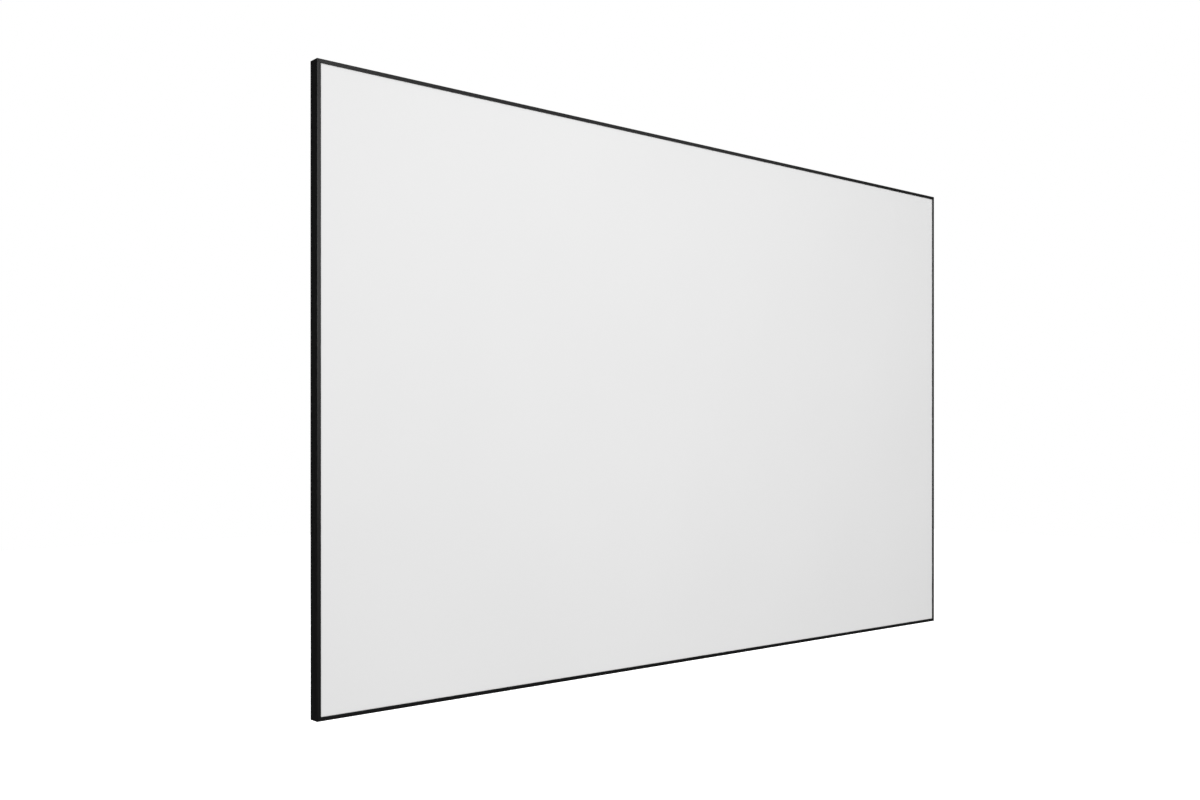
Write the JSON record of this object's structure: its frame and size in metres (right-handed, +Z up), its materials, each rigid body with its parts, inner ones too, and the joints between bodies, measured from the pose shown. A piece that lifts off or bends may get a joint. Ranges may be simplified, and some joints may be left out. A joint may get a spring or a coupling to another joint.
{
  "type": "fixed frame projector screen",
  "caption": "Fixed frame projection screen: matt white cloth drawn tight over a slim black aluminium frame, with rods and hooks, a support bar and wall brackets behind.",
  "frame": {"origin": "middle of the back, on the wall plane, at the back of the support bar", "axes": "+X to the viewer's right along the width, +Y into the wall, +Z up; the picture faces -Y"},
  "size_m": [2.172, 0.03, 1.364],
  "materials": {
    "trim": "satin black anodised",
    "rail": "matt black anodised",
    "cloth": "matt coated cloth, light grey-white",
    "zinc": "bright zinc plated",
    "rod": "drawn glass fibre",
    "plastic": "moulded black plastic"
  },
  "bodies": {
    "root": {"corner_plate_bottom_left": "zinc", "corner_plate_bottom_right": "zinc", "corner_plate_top_left": "zinc", "corner_plate_top_right": "zinc", "edge_trim_bottom_left": "trim", "edge_trim_bottom_right": "trim", "edge_trim_left": "trim", "edge_trim_right": "trim", "edge_trim_top_left": "trim", "edge_trim_top_right": "trim", "frame_rail_bottom_left": "rail", "frame_rail_bottom_right": "rail", "frame_rail_left": "rail", "frame_rail_right": "rail", "frame_rail_top_left": "rail", "frame_rail_top_right": "rail", "projection_cloth": "cloth", "splice_plate_bottom": "zinc", "splice_plate_top": "zinc", "support_bar": "rail", "support_bar_end_bottom": "plastic", "support_bar_end_top": "plastic", "tension_hook_bottom_1": "plastic", "tension_hook_bottom_2": "plastic", "tension_hook_bottom_3": "plastic", "tension_hook_bottom_4": "plastic", "tension_hook_bottom_5": "plastic", "tension_hook_bottom_6": "plastic", "tension_hook_bottom_7": "plastic", "tension_hook_bottom_8": "plastic", "tension_hook_bottom_9": "plastic", "tension_hook_left_1": "plastic", "tension_hook_left_2": "plastic", "tension_hook_left_3": "plastic", "tension_hook_left_4": "plastic", "tension_hook_left_5": "plastic", "tension_hook_left_6": "plastic", "tension_hook_right_1": "plastic", "tension_hook_right_2": "plastic", "tension_hook_right_3": "plastic", "tension_hook_right_4": "plastic", "tension_hook_right_5": "plastic", "tension_hook_right_6": "plastic", "tension_hook_top_1": "plastic", "tension_hook_top_2": "plastic", "tension_hook_top_3": "plastic", "tension_hook_top_4": "plastic", "tension_hook_top_5": "plastic", "tension_hook_top_6": "plastic", "tension_hook_top_7": "plastic", "tension_hook_top_8": "plastic", "tension_hook_top_9": "plastic", "tension_rod_bottom": "rod", "tension_rod_left": "rod", "tension_rod_right": "rod", "tension_rod_top": "rod", "wall_bracket_bottom_left": "zinc", "wall_bracket_bottom_right": "zinc", "wall_bracket_top_left": "zinc", "wall_bracket_top_right": "zinc"}
  },
  "joints": []
}
